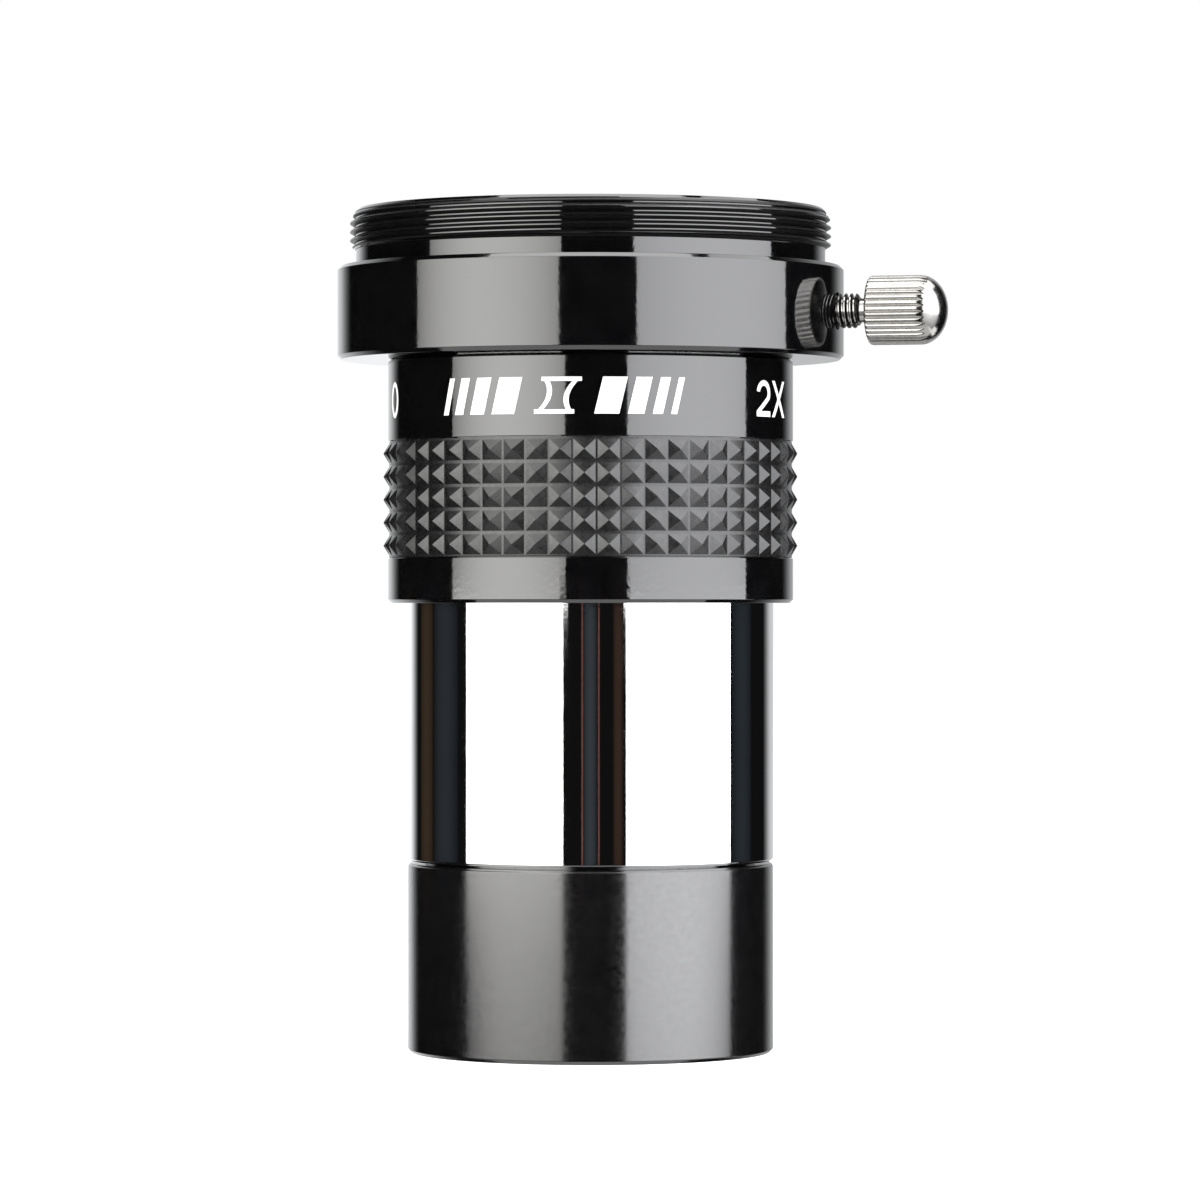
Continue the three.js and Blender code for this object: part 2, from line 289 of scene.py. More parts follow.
def apply_modifiers(piece, sharp_degrees):
    """Bakes the piece's modifiers into its mesh, and finds its sharp edges again."""
    graph = bpy.context.evaluated_depsgraph_get()
    mesh = bpy.data.meshes.new_from_object(piece.evaluated_get(graph))
    old = piece.data
    piece.modifiers.clear()
    piece.data = mesh
    bpy.data.meshes.remove(old)
    mesh.name = piece.name
    mesh.shade_smooth()
    mesh.set_sharp_from_angle(angle=math.radians(sharp_degrees))


def cut_away(piece, bm, sharp_degrees):
    """Takes the solid in a bmesh out of a piece."""
    cutter = finish_mesh("cutter", bm, [])
    cut = piece.modifiers.new("cut", "BOOLEAN")
    cut.object = cutter
    cut.operation = "DIFFERENCE"
    cut.solver = "EXACT"
    apply_modifiers(piece, sharp_degrees)
    bpy.data.objects.remove(cutter)


# ---- Material helpers ----

class Look:
    """A Principled material with object-space coordinates, in metres. Its noise is stretched so that the
    values from `low` to `high` cover the whole range of whatever it drives."""

    low, high = 0.3, 0.7

    def __init__(self, name, color, roughness, metallic=0.0, **inputs):
        self.material = bpy.data.materials.new(name)
        self.material.use_nodes = True
        self.nodes = self.material.node_tree.nodes
        self.links = self.material.node_tree.links
        self.shader = self.nodes["Principled BSDF"]
        self.shader.inputs["Base Color"].default_value = (*color, 1)
        self.shader.inputs["Roughness"].default_value = roughness
        self.shader.inputs["Metallic"].default_value = metallic
        for key, value in inputs.items():
            self.shader.inputs[key.replace("_", " ")].default_value = value
        self.coords = self.nodes.new("ShaderNodeTexCoord").outputs["Object"]
        self.height = None

    def grain(self, size, stretch=(1, 1, 1), detail=3.0):
        """Noise with features of about `size` millimetres, longer along axes with a small stretch factor."""
        mapping = self.nodes.new("ShaderNodeMapping")
        mapping.inputs["Scale"].default_value = [s / mm(size) for s in stretch]
        self.links.new(self.coords, mapping.inputs["Vector"])
        noise = self.nodes.new("ShaderNodeTexNoise")
        noise.inputs["Scale"].default_value = 1.0
        noise.inputs["Detail"].default_value = detail
        self.links.new(mapping.outputs["Vector"], noise.inputs["Vector"])
        return noise.outputs["Fac"]

    def ranged(self, value, start, end):
        node = self.nodes.new("ShaderNodeMapRange")
        node.inputs["From Min"].default_value = self.low
        node.inputs["From Max"].default_value = self.high
        node.inputs["To Min"].default_value = start
        node.inputs["To Max"].default_value = end
        self.links.new(value, node.inputs["Value"])
        return node.outputs["Result"]

    def roughness(self, value):
        self.links.new(value, self.shader.inputs["Roughness"])

    def color(self, value, dark, light):
        ramp = self.nodes.new("ShaderNodeValToRGB")
        ramp.color_ramp.elements[0].position = self.low
        ramp.color_ramp.elements[0].color = (*dark, 1)
        ramp.color_ramp.elements[1].position = self.high
        ramp.color_ramp.elements[1].color = (*light, 1)
        self.links.new(value, ramp.inputs["Fac"])
        self.links.new(ramp.outputs["Color"], self.shader.inputs["Base Color"])

    def bump(self, value, depth):
        """Adds relief of `depth` millimetres."""
        node = self.nodes.new("ShaderNodeBump")
        node.inputs["Distance"].default_value = mm(depth)
        node.inputs["Strength"].default_value = 1.0
        self.links.new(value, node.inputs["Height"])
        if self.height:
            self.links.new(self.height, node.inputs["Normal"])
        self.height = node.outputs["Normal"]
        self.links.new(self.height, self.shader.inputs["Normal"])


def gloss_black():
    """Bright-dipped black anodising on turned aluminium: faint tool rings, slight waviness, rare dust."""
    look = Look("gloss_black_anodised", (0.0015, 0.0015, 0.0017), 0.05, IOR=1.9)
    look.roughness(look.ranged(look.grain(1.4), 0.03, 0.075))
    look.color(look.grain(2.5), (0.0011, 0.0011, 0.0013), (0.0022, 0.0022, 0.0024))
    look.bump(look.grain(0.22, (0.02, 0.02, 1)), 0.00025)
    look.bump(look.grain(0.45), 0.0028)
    look.bump(look.grain(3.5, detail=1.0), 0.004)
    return look.material


def satin_black():
    """Satin black anodising with a fine blasted grain over tool rings."""
    look = Look("satin_black_anodised", (0.0022, 0.0022, 0.0024), 0.15, IOR=2.05)
    look.roughness(look.ranged(look.grain(0.5), 0.1, 0.17))
    look.color(look.grain(1.2), (0.0015, 0.0015, 0.0017), (0.0035, 0.0035, 0.0037))
    look.bump(look.grain(0.18, (0.03, 0.03, 1)), 0.0003)
    look.bump(look.grain(0.11), 0.0011)
    return look.material


def cut_black():
    """Black anodising over thread flanks, left as cut."""
    look = Look("cut_thread_anodised", (0.0015, 0.0015, 0.0017), 0.4, IOR=1.6)
    look.roughness(look.ranged(look.grain(0.4), 0.34, 0.46))
    look.bump(look.grain(0.1, (0.05, 0.05, 1)), 0.0004)
    return look.material


def matte_black():
    """Flat black paint inside the barrel, against stray light."""
    look = Look("matte_black_paint", (0.006, 0.006, 0.006), 0.6)
    look.roughness(look.ranged(look.grain(0.3), 0.5, 0.72))
    look.bump(look.grain(0.15), 0.004)
    return look.material


def polished_chrome():
    """Polished plate with faint polishing rings and a little waviness."""
    look = Look("polished_chrome", (0.8, 0.805, 0.81), 0.03, metallic=1.0)
    look.roughness(look.ranged(look.grain(2.0, (1, 1, 0.6)), 0.015, 0.045))
    look.color(look.grain(4.0), (0.76, 0.765, 0.77), (0.82, 0.825, 0.83))
    look.bump(look.grain(0.3, (0.02, 0.02, 1)), 0.00016)
    look.bump(look.grain(0.5), 0.0006)
    look.bump(look.grain(2.5, detail=1.0), 0.0016)
    return look.material


def bright_nickel():
    """Nickel plate over a turned and knurled screw."""
    look = Look("bright_nickel", (0.45, 0.44, 0.425), 0.17, metallic=1.0)
    look.roughness(look.ranged(look.grain(0.6), 0.14, 0.22))
    look.color(look.grain(0.5), (0.39, 0.38, 0.365), (0.47, 0.46, 0.445))
    look.bump(look.grain(0.12, (1, 0.05, 0.05)), 0.0008)
    return look.material


def flank_nickel_painted_shade():
    """The same plating on the thread's flanks, rougher as left by the cut; its much darker colour is painted
    shade for the thread's grooves.
    """
    look = Look("flank_nickel_painted_shade", (0.1, 0.098, 0.095), 0.35, metallic=1.0)
    look.roughness(look.ranged(look.grain(0.3), 0.3, 0.42))
    look.color(look.grain(0.4), (0.07, 0.069, 0.067), (0.12, 0.118, 0.115))
    return look.material


def satin_brass():
    """Turned brass with fine tool rings."""
    look = Look("satin_brass", (0.72, 0.5, 0.2), 0.34, metallic=1.0)
    look.roughness(look.ranged(look.grain(1.5), 0.32, 0.38))
    look.color(look.grain(2.5), (0.68, 0.48, 0.195), (0.72, 0.51, 0.21))
    look.bump(look.grain(0.2, (0.02, 0.02, 1)), 0.0002)
    return look.material


def white_nylon():
    """Natural nylon, slightly uneven."""
    look = Look("white_nylon", (0.8, 0.78, 0.7), 0.5)
    look.roughness(look.ranged(look.grain(0.3), 0.42, 0.6))
    look.bump(look.grain(0.1), 0.002)
    return look.material


def moulded_rubber():
    """Moulded black rubber: fine skin texture and a little bloom and dust."""
    look = Look("moulded_rubber", (0.005, 0.005, 0.0053), 0.3, IOR=1.72)
    look.roughness(look.ranged(look.grain(0.5), 0.24, 0.33))
    look.color(look.grain(0.7, detail=6.0), (0.003, 0.003, 0.0032), (0.009, 0.009, 0.0095))
    look.bump(look.grain(0.12), 0.0022)
    return look.material


def white_ink():
    """Pad-printed ink with a faint grain."""
    look = Look("white_ink", (0.86, 0.86, 0.85), 0.45)
    look.roughness(look.ranged(look.grain(0.2), 0.38, 0.55))
    look.bump(look.grain(0.07), 0.0006)
    return look.material


def coated_glass(name, tint):
    """Optical glass with an anti-reflection coating, seen as a faint tinted sheen."""
    look = Look(name, (0.96, 0.98, 0.97), 0.0, Transmission_Weight=1.0, IOR=1.52, Coat_Weight=0.6)
    look.shader.inputs["Coat Tint"].default_value = (*tint, 1)
    look.roughness(look.ranged(look.grain(3.0), 0.0, 0.012))
    return look.material


GLOSS_BLACK = gloss_black()
SATIN_BLACK = satin_black()
CUT_BLACK = cut_black()
MATTE_BLACK = matte_black()
CHROME = polished_chrome()
NICKEL = bright_nickel()
RUBBER = moulded_rubber()
INK = white_ink()


# ---- The pieces ----

def make_collar():
    """The collar with its male camera thread, eyepiece bore and thumbscrew hole."""
    edge = 0.35
    corners = [
        (COUNTERBORE_RADIUS, collar_bottom, 0),
        (collar_radius - edge, collar_bottom, 0.06),
        (collar_radius, collar_bottom + edge, 0.06),
        (collar_radius, COLLAR_TOP - edge, 0.06),
        (collar_radius - edge, COLLAR_TOP, 0.06),
        (UNDERCUT_RADIUS, COLLAR_TOP, 0.05),
        (UNDERCUT_RADIUS, COLLAR_TOP - UNDERCUT_DEPTH, 0.03),
        (T_RELIEF, COLLAR_TOP - UNDERCUT_DEPTH, 0.05),
        (T_RELIEF, THREAD_BOTTOM, 0),
    ]
    thread_top = rim_top - T_RIM_EDGE
    chamfer_end = T_RIM + T_RIM_EDGE * T_RIM_SLOPE
    inside = [
        (chamfer_end, thread_top, 0),
        (chamfer_end - T_RIM_EDGE, rim_top, 0.03),
        (SOCKET_ENTRY_RADIUS, rim_top, 0.05),
        (SOCKET_RADIUS, rim_top - SOCKET_ENTRY_DEPTH, 0.05),
        (SOCKET_RADIUS, COUNTERBORE_TOP, 0.03),
        (COUNTERBORE_RADIUS, COUNTERBORE_TOP, 0.03),
    ]

    def on_thread(point):
        return THREAD_BOTTOM + NEAR < point[1] < thread_top - NEAR and point[0] > T_RIM

    def at_foot(point):
        return abs(point[0] - T_RELIEF) < NEAR and abs(point[1] - THREAD_BOTTOM) < NEAR

    # The outline's straight between the relief and the rim gives way to the thread.
    outline = [point for point in filleted(corners + inside) if not on_thread(point)]
    start = next(i for i, point in enumerate(outline) if at_foot(point))
    outline = outline[start + 1:] + outline[:start + 1]
    bm = bmesh.new()
    add_turned(bm, outline, closed=False)

    def envelope(height, radius):
        run_out = T_RELIEF + (height - THREAD_BOTTOM) * RUN_OUT_SLOPE
        chamfer = T_RIM + (rim_top - height) * T_RIM_SLOPE
        return min(radius, run_out, chamfer)

    add_thread(bm, THREAD_BOTTOM, thread_top, T_PITCH, thread_form(T_ROOT, T_CREST), envelope)
    piece = finish_mesh("collar_with_thread", bm, [GLOSS_BLACK, CUT_BLACK], COLLAR_SHARP)
    drill_collar(piece)
    settle(piece, "housing", "collar", "t_thread_collar")


def drill_collar(piece):
    """Cuts the thumbscrew's hole through the collar's wall, along +X."""
    bm = bmesh.new()
    middle, depth, radius = collar_radius - 2, 6, mm(SCREW_HOLE)
    place = Matrix.Translation((mm(middle), 0, mm(screw_z))) @ Matrix.Rotation(math.pi / 2, 4, "Y")
    bmesh.ops.create_cone(
        bm, cap_ends=True, segments=48, radius1=radius, radius2=radius, depth=mm(depth), matrix=place,
    )
    cut_away(piece, bm, COLLAR_SHARP)


def make_body():
    """The main tube: lower flange, grip seat, printed band and the neck inside the collar."""
    lower_edge, upper_edge, seam = 0.3, 0.2, 0.05
    corners = [
        (BARREL_SEAT_RADIUS, body_bottom, 0.04),
        (body_radius - lower_edge, body_bottom, 0.06),
        (body_radius, body_bottom + lower_edge, 0.06),
        (body_radius, grip_bottom - seam, 0.05),
        (SEAT_RADIUS, grip_bottom - seam, 0),
        (SEAT_RADIUS, grip_top + seam, 0),
        (body_radius, grip_top + seam, 0.05),
        (body_radius, BODY_TOP - upper_edge, 0.05),
        (body_radius - upper_edge, BODY_TOP, 0.05),
        (NECK_RADIUS, BODY_TOP, 0),
        (NECK_RADIUS, neck_top, 0.04),
        (SOCKET_RADIUS, neck_top, 0.04),
        (SOCKET_RADIUS, SOCKET_FLOOR, 0.04),
        (LOWER_BORE, SOCKET_FLOOR, 0.04),
        (LOWER_BORE, BARREL_SEAT_TOP, 0.03),
        (BARREL_SEAT_RADIUS, BARREL_SEAT_TOP, 0.03),
    ]
    piece = turned_piece("main_body", corners, [GLOSS_BLACK])
    settle(piece, "housing", "body", "body_tube")


def make_grip():
    """The rubber sleeve: rows of four-sided pyramids with narrow grooves between them."""
    rim, softened, crease_degrees = 0.06, 0.028, 12
    row_height = (grip_top - grip_bottom - 2 * rim) / GRIP_ROWS
    half_groove = 0.14
    groove_turn = 0.16 / (2 * math.pi * GRIP_FLOOR)
    heights = []
    for row in range(GRIP_ROWS):
        low = grip_bottom + rim + row * row_height
        heights += [low + half_groove, low + row_height - half_groove]
    turns = []
    for column in range(GRIP_COLUMNS):
        left, right = column / GRIP_COLUMNS, (column + 1) / GRIP_COLUMNS
        turns += [left + groove_turn / 2, right - groove_turn / 2]
    outline = [(GRIP_INNER, grip_bottom), (GRIP_FLOOR, grip_bottom)]
    outline += [(GRIP_FLOOR, z) for z in heights]
    outline += [(GRIP_FLOOR, grip_top), (GRIP_INNER, grip_top)]
    first = outline.index((GRIP_FLOOR, heights[0]))

    bm = bmesh.new()
    columns = [[bm.verts.new(turn_point(r, z, turn)) for r, z in outline] for turn in turns]
    for j, here in enumerate(columns):
        there = columns[(j + 1) % len(columns)]
        for i in range(len(outline)):
            k = (i + 1) % len(outline)
            corners = (here[i], there[i], there[k], here[k])
            row = i - first
            on_pyramid = j % 2 == 0 and 0 <= row < len(heights) and row % 2 == 0
            if not on_pyramid:
                bm.faces.new(corners)
                continue
            turn = (turns[j] + turns[j + 1]) / 2
            apex = bm.verts.new(turn_point(GRIP_PEAK, (outline[i][1] + outline[k][1]) / 2, turn))
            for a in range(4):
                bm.faces.new((corners[a], corners[(a + 1) % 4], apex))
    piece = finish_mesh("rubber_sleeve", bm, [RUBBER], crease_degrees)
    soften = piece.modifiers.new("soften", "BEVEL")
    soften.width = mm(softened)
    soften.segments = 2
    soften.limit_method = "ANGLE"
    soften.angle_limit = math.radians(crease_degrees)
    apply_modifiers(piece, 28)
    settle(piece, "housing", "grip", "rubber_grip")


def make_barrel():
    """The plated nosepiece, flat black inside, with shallow anti-glare grooves in its bore."""
    edge, plain_end, groove, groove_depth = 0.2, 0.5, 0.5, 0.12
    corners = [
        (CELL_SOCKET_RADIUS, barrel_bottom, 0.04),
        (barrel_radius - edge, barrel_bottom, 0.05),
        (barrel_radius, barrel_bottom + edge, 0.05),
        (barrel_radius, BARREL_TOP, 0.03),
        (BARREL_NECK_RADIUS, BARREL_TOP, 0),
        (BARREL_NECK_RADIUS, barrel_neck_top, 0.04),
        (BARREL_BORE, barrel_neck_top, 0.04),
    ]
    grooves = int((barrel_neck_top - CELL_SOCKET_TOP - 2 * plain_end) / groove)
    for k in range(grooves):
        z = barrel_neck_top - plain_end - k * groove
        corners += [(BARREL_BORE, z, 0), (BARREL_BORE + groove_depth, z - groove / 2, 0)]
    corners += [
        (BARREL_BORE, barrel_neck_top - plain_end - grooves * groove, 0),
        (BARREL_BORE, CELL_SOCKET_TOP, 0),
        (CELL_SOCKET_RADIUS, CELL_SOCKET_TOP, 0),
    ]

    def coating(low, high):
        outside = min(low[0], high[0]) > BARREL_NECK_RADIUS - 0.1
        lower_end = high[1] < barrel_bottom + 0.01
        return 0 if outside or lower_end else 1

    piece = turned_piece("plated_barrel", corners, [CHROME, MATTE_BLACK], material_of=coating)
    settle(piece, "housing", "nosepiece", "nosepiece_barrel")


def make_cell():
    """The lens cell: satin outside, the filter thread's rings below and the lens seat inside."""
    lower_edge, upper_edge = 0.3, 0.2
    corners = [
        (FILTER_RADIUS + 0.25, cell_bottom, 0.04),
        (cell_radius - lower_edge, cell_bottom, 0.06),
        (cell_radius, cell_bottom + lower_edge, 0.08),
        (cell_radius, CELL_TOP - upper_edge, 0.05),
        (cell_radius - upper_edge, CELL_TOP, 0.05),
        (CELL_NECK_RADIUS, CELL_TOP, 0),
        (CELL_NECK_RADIUS, cell_neck_top, 0.06),
        (UPPER_BORE, cell_neck_top, 0.06),
        (UPPER_BORE, LENS_BORE_TOP, 0),
        (LENS_BORE, LENS_BORE_TOP, 0),
        (LENS_BORE, LENS_SEAT_TOP, 0),
        (LENS_SEAT_RADIUS, LENS_SEAT_TOP, 0.03),
        (LENS_SEAT_RADIUS, FILTER_TOP, 0.05),
        (FILTER_RADIUS, FILTER_TOP, 0),
    ]
    pitch, minor = 0.6, FILTER_RADIUS - 0.32
    rings = int((FILTER_TOP - cell_bottom - 1.2) / pitch)
    start = FILTER_TOP - 0.6
    for k in range(rings):
        z = start - k * pitch
        corners += [(FILTER_RADIUS, z, 0), (minor, z - 0.5 * pitch, 0.03)]
    corners += [(FILTER_RADIUS, start - rings * pitch, 0)]
    piece = turned_piece("objective_cell", corners, [SATIN_BLACK, MATTE_BLACK])
    settle(piece, "cell", "lens_cell", "lens_cell")


def sag(curve, radius):
    """How far a spherical surface rises from its apex out to a radius."""
    return curve - math.copysign(math.sqrt(curve * curve - radius * radius), curve)


def lens_surface(curve, apex, edge, steps=24):
    """Points of a spherical surface, from beside the axis out to its edge. It rises from the apex when the
    curve's radius is positive."""
    radii = [edge * k / steps for k in range(1, steps + 1)]
    return [(radius, apex + sag(curve, radius)) for radius in radii]


def make_lens(name, front, rear, bottom, top, material):
    """A lens with a ground edge between two surfaces, each given as (curve, apex, edge)."""
    lower, upper = lens_surface(*front), lens_surface(*rear)
    rim = [
        (lens_radius - LENS_BEVEL, bottom), (lens_radius, bottom + LENS_BEVEL),
        (lens_radius, top - LENS_BEVEL), (lens_radius - LENS_BEVEL, top),
    ]
    rim = [p for p in rim if lower[-1][0] < p[0] + 1e-6]
    bm = bmesh.new()
    columns = add_turned(bm, lower + rim + upper[::-1], 128, closed=False)
    cap_ends(bm, columns, front[1], rear[1])
    return finish_mesh(name, bm, [material])


def make_doublet():
    """The diverging pair: a biconcave element below, with a meniscus nested in its upper hollow."""
    clear, nested = lens_radius - 0.7, lens_radius - LENS_BEVEL
    crown_glass = coated_glass("crown_glass_coated", (0.55, 0.85, 0.65))
    flint_glass = coated_glass("flint_glass_coated", (0.6, 0.7, 0.95))
    crown_front = (-FRONT_CURVE, crown_bottom + sag(FRONT_CURVE, clear), clear)
    crown_rear = (INNER_CURVE, crown_top - sag(INNER_CURVE, nested), nested)
    crown = make_lens("crown_lens", crown_front, crown_rear, crown_bottom, crown_top, crown_glass)
    flint_front = (INNER_CURVE, flint_bottom, nested)
    flint_rear = (REAR_CURVE, flint_top - sag(REAR_CURVE, clear), clear)
    flint_edge = flint_bottom + sag(INNER_CURVE, nested)
    flint = make_lens("flint_lens", flint_front, flint_rear, flint_edge, flint_top, flint_glass)
    settle(crown, "doublet", "crown_glass", "crown_element")
    settle(flint, "doublet", "flint_glass", "flint_element")


def make_retainer():
    """The ring over the doublet, with two slots for a spanner."""
    inner, edge = LENS_SEAT_RADIUS, 0.5
    slot_length, slot_width, slot_depth = 30, 1.2, 0.8
    corners = [
        (inner, retainer_bottom, 0.05),
        (retainer_radius, retainer_bottom, 0.05),
        (retainer_radius, retainer_top, 0.08),
        (inner + edge, retainer_top, 0.05),
        (inner, retainer_top - edge, 0.05),
    ]
    piece = turned_piece("slotted_retainer", corners, [SATIN_BLACK], 192)
    bm = bmesh.new()
    size = Matrix.Diagonal((mm(slot_length), mm(slot_width), mm(2 * slot_depth), 1))
    bmesh.ops.create_cube(bm, size=1, matrix=Matrix.Translation((0, 0, mm(retainer_top))) @ size)
    cut_away(piece, bm, 32)
    settle(piece, "cell", "retaining_ring", "retaining_ring")


def make_clamp_ring():
    """The split brass ring that the thumbscrew presses on the eyepiece."""
    inner, fillet, split_width, steps = SOCKET_RADIUS + 0.1, 0.15, 3.0, 180
    split = split_width / clamp_radius
    outline = filleted([
        (inner, clamp_bottom, fillet),
        (clamp_radius, clamp_bottom, fillet),
        (clamp_radius, clamp_top, fillet),
        (inner, clamp_top, fillet),
    ], 4)
    bm = bmesh.new()
    columns = []
    for j in range(steps + 1):
        angle = math.pi + split / 2 + (2 * math.pi - split) * j / steps
        columns.append([bm.verts.new(turn_point(r, z, angle / (2 * math.pi))) for r, z in outline])
    for here, there in zip(columns, columns[1:]):
        for i in range(len(outline)):
            k = (i + 1) % len(outline)
            bm.faces.new((here[i], there[i], there[k], here[k]))
    bm.faces.new(columns[0])
    bm.faces.new(columns[-1][::-1])
    piece = finish_mesh("split_clamp_ring", bm, [satin_brass()])
    settle(piece, "housing", "compression_ring", "compression_ring")


def lay_along_x(bm):
    """Turns geometry made about +Z so that it lies along +X at the thumbscrew's height."""
    place = Matrix.Translation((0, 0, mm(screw_z))) @ Matrix.Rotation(math.pi / 2, 4, "Y")
    bmesh.ops.transform(bm, matrix=place, verts=bm.verts)


def make_thumbscrew():
    """The screw: threaded shank, thin neck, straight-knurled head and smooth dome."""
    shank_end, dome_end = screw_box
    end_radius = SCREW_ROOT - 0.02
    bm = bmesh.new()
    segments = KNURLS * 10

    def envelope(height, radius):
        lead_in = end_radius + (height - shank_end) * 1.0
        run_out = SCREW_NECK + (SCREW_STOP - height) * RUN_OUT_SLOPE
        return min(radius, lead_in, run_out)

    form = thread_form(SCREW_ROOT, SCREW_CREST, 3, 0.2, 0.2)
    add_thread(bm, shank_end, SCREW_STOP, SCREW_PITCH, form, envelope, segments)

    def knurl(turn):
        land = 0.35
        phase = abs((turn * KNURLS) % 1 - 0.5) * 2
        return head_radius - KNURL_DEPTH * max(0.0, (phase - land) / (1 - land)) ** 1.3

    rounding, rounding_steps = 0.3, 6
    shoulder = head_radius - rounding
    profile = [(SCREW_NECK, z) for z in (SCREW_STOP, SCREW_STOP + 0.05, HEAD_START - 0.04, HEAD_START)]
    profile += [(SCREW_NECK + 0.05, HEAD_START), (shoulder - 0.1, HEAD_START)]
    for k in range(rounding_steps + 1):
        angle = -math.pi / 2 + k / rounding_steps * math.pi / 2
        profile.append((shoulder + rounding * math.cos(angle), HEAD_START + rounding * (1 + math.sin(angle))))
    profile += [(head_radius, z) for z in np.linspace(HEAD_START + rounding + 0.1, DOME_START, 8)]
    dome = dome_end - DOME_START
    for angle in np.linspace(0.04, math.pi / 2 - 0.03, 40):
        profile.append((head_radius * math.cos(angle), DOME_START + dome * math.sin(angle)))
    columns = []
    for j in range(segments):
        limit = knurl(j / segments)
        columns.append([bm.verts.new(turn_point(min(r, limit), z, j / segments)) for r, z in profile])
    for j in range(segments):
        here, there = columns[j], columns[(j + 1) % segments]
        for i in range(len(profile) - 1):
            bm.faces.new((here[i], there[i], there[i + 1], here[i + 1]))
    pole = bm.verts.new((0, 0, mm(dome_end)))
    for j in range(segments):
        bm.faces.new((columns[j][-1], columns[(j + 1) % segments][-1], pole))

    # The end has a blind hole for the soft tip.
    hole_floor = shank_end + TIP_HOLE_DEPTH
    hole = [(end_radius, shank_end), (TIP_HOLE + 0.04, shank_end)]
    hole += [(TIP_HOLE, shank_end + 0.04), (TIP_HOLE, hole_floor)]
    rings = [[bm.verts.new(turn_point(r, z, j / segments)) for r, z in hole] for j in range(segments)]
    floor = bm.verts.new((0, 0, mm(hole_floor)))
    for j in range(segments):
        here, there = rings[j], rings[(j + 1) % segments]
        for i in range(len(hole) - 1):
            bm.faces.new((here[i], here[i + 1], there[i + 1], there[i]))
        bm.faces.new((here[-1], floor, there[-1]))
    lay_along_x(bm)
    # The thread's flanks take a much darker nickel: painted shade in the grooves.
    piece = finish_mesh("knurled_thumbscrew", bm, [NICKEL, flank_nickel_painted_shade()], 40)
    settle(piece, "screw", "thumbscrew", "thumbscrew")


def make_tip():
    """The soft tip set in the screw's end."""
    face, stem_end = tip_box
    back, stem_radius = face + 0.65, 0.6
    outline = [(tip_radius - 0.25, face), (tip_radius - 0.08, face + 0.06), (tip_radius, face + 0.22)]
    outline += [(tip_radius, back - 0.03), (tip_radius - 0.03, back), (stem_radius, back)]
    outline += [(stem_radius, stem_end - 0.08), (0.5, stem_end)]
    bm = bmesh.new()
    columns = add_turned(bm, outline, 64, closed=False)
    cap_ends(bm, columns, face, stem_end)
    lay_along_x(bm)
    piece = finish_mesh("soft_screw_tip", bm, [white_nylon()])
    settle(piece, "screw_tip", "thumbscrew_tip", "thumbscrew_tip")


# ---- Printing on the upper band: plain geometric marks and the magnification ----

INK_THICKNESS = 0.008
INK_CLEARANCE = 0.002
SLICE = 0.3
BAND_MIDDLE = 56.4
MARK_HEIGHT = 3.1
SLANT = 0.24


def strip(pairs):
    """Quads between the successive pairs of points of a line."""
    return [[a[0], a[1], b[1], b[0]] for a, b in zip(pairs, pairs[1:])]


def rectangle(left, right, bottom, top):
    return [(left, bottom), (right, bottom), (right, top), (left, top)]


def printed(name, shapes, centre_degrees):
    """Ink shapes wrapped round the upper band. Shapes are outlines in millimetres about their own centre,
    and centre_degrees is measured from the side that faces the camera, positive to its right."""
    bm = bmesh.new()
    for shape in shapes:
        bm.faces.new([bm.verts.new((p[0], 0, p[1])) for p in shape])
    bmesh.ops.remove_doubles(bm, verts=bm.verts, dist=NEAR)
    bmesh.ops.recalc_face_normals(bm, faces=bm.faces)
    front = bmesh.ops.extrude_face_region(bm, geom=bm.faces[:] + bm.edges[:] + bm.verts[:])
    raised = [v for v in front["geom"] if isinstance(v, bmesh.types.BMVert)]
    bmesh.ops.translate(bm, vec=(0, -INK_THICKNESS, 0), verts=raised)
    reach = max(abs(v.co.x) for v in bm.verts)
    for x in np.arange(-reach + SLICE, reach, SLICE):
        everything = bm.verts[:] + bm.edges[:] + bm.faces[:]
        bmesh.ops.bisect_plane(bm, geom=everything, plane_co=(x, 0, 0), plane_no=(1, 0, 0))
    radius = body_radius + INK_CLEARANCE
    facing = math.radians(-90 + CAMERA_AZIMUTH + centre_degrees)
    for v in bm.verts:
        angle = facing + v.co.x / radius
        v.co = turn_point(radius - v.co.y, BAND_MIDDLE + v.co.z, angle / (2 * math.pi))
    piece = finish_mesh(name, bm, [INK], 25)
    settle(piece, "housing", "body")


def slanted_bar(left, width):
    low, high = -MARK_HEIGHT / 2, MARK_HEIGHT / 2
    right = left + width
    corners = ((left, low), (right, low), (right, high), (left, high))
    return [(x + SLANT * z, z) for x, z in corners]


def ellipse_band(half_width, half_height, line, steps=40):
    """Quads that together make an ellipse's outline."""
    def at(k, grow):
        angle = 2 * math.pi * k / steps
        return ((half_width + grow) * math.cos(angle), (half_height + grow) * math.sin(angle))

    return [[at(k, 0), at(k + 1, 0), at(k + 1, -line), at(k, -line)] for k in range(steps)]


def figure_two(width, height, line):
    """The figure 2: an arc, a slanting stem and a foot."""
    radius = width / 2 - line / 2
    middle = (0, height / 2 - line / 2 - radius)
    pairs = []
    for angle in np.radians(np.linspace(172, -28, 16)):
        reach = [(radius + side * line / 2) for side in (1, -1)]
        pairs.append([(middle[0] + r * math.cos(angle), middle[1] + r * math.sin(angle)) for r in reach])
    foot = -height / 2 + line
    pairs.append([(-width / 2 + 1.4 * line, foot), (-width / 2, foot)])
    return strip(pairs) + [rectangle(-width / 2, width / 2, foot - line, foot)]


